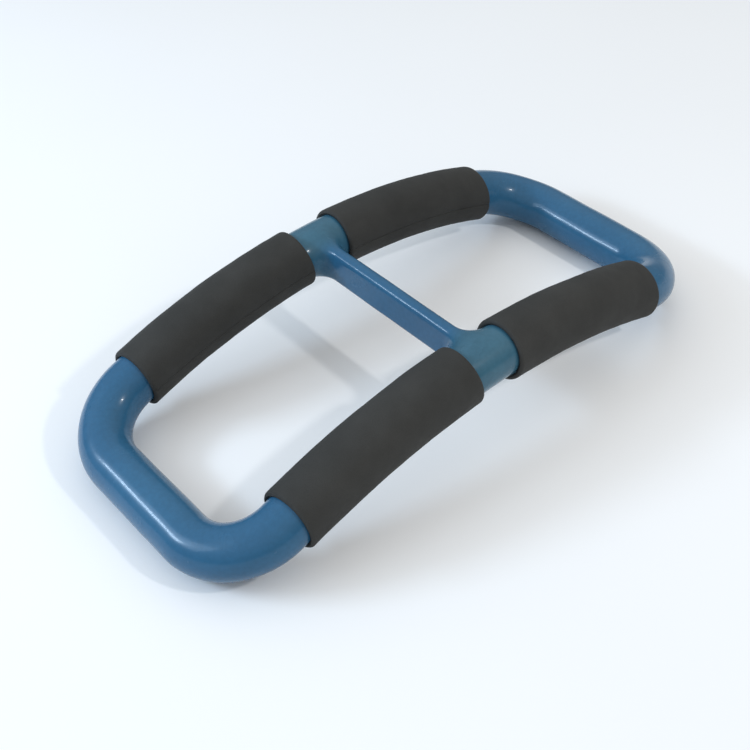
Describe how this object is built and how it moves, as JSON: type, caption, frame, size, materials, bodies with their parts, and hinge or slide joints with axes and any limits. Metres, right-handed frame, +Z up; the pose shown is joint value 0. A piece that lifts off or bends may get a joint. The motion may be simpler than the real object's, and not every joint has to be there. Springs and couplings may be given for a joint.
{
  "type": "hand grip exercise frame",
  "caption": "Arched closed-loop exercise frame of round coated tube with a flat crossbar across its middle and padded foam grips along its long sides.",
  "frame": {"origin": "on the surface the frame stands on, under its centre", "axes": "+X along the length, towards the right end bar; +Y across, towards the rear long side; +Z up, towards the crown of the arch"},
  "size_m": [0.3522, 0.167, 0.0667],
  "materials": {
    "blue_vinyl": "gloss",
    "grip_foam": "matte",
    "tube_steel": "satin",
    "weld_metal": "matte"
  },
  "bodies": {
    "root": {"end_bow_left": "tube_steel", "end_bow_right": "tube_steel", "joining_spigot_front": "tube_steel", "joining_spigot_rear": "tube_steel", "butt_weld_front": "weld_metal", "butt_weld_rear": "weld_metal", "crossbar": "tube_steel", "crossbar_weld_front": "weld_metal", "crossbar_weld_rear": "weld_metal", "vinyl_coat": "blue_vinyl", "front_left_grip": "grip_foam", "front_right_grip": "grip_foam", "rear_left_grip": "grip_foam", "rear_right_grip": "grip_foam"}
  },
  "joints": []
}
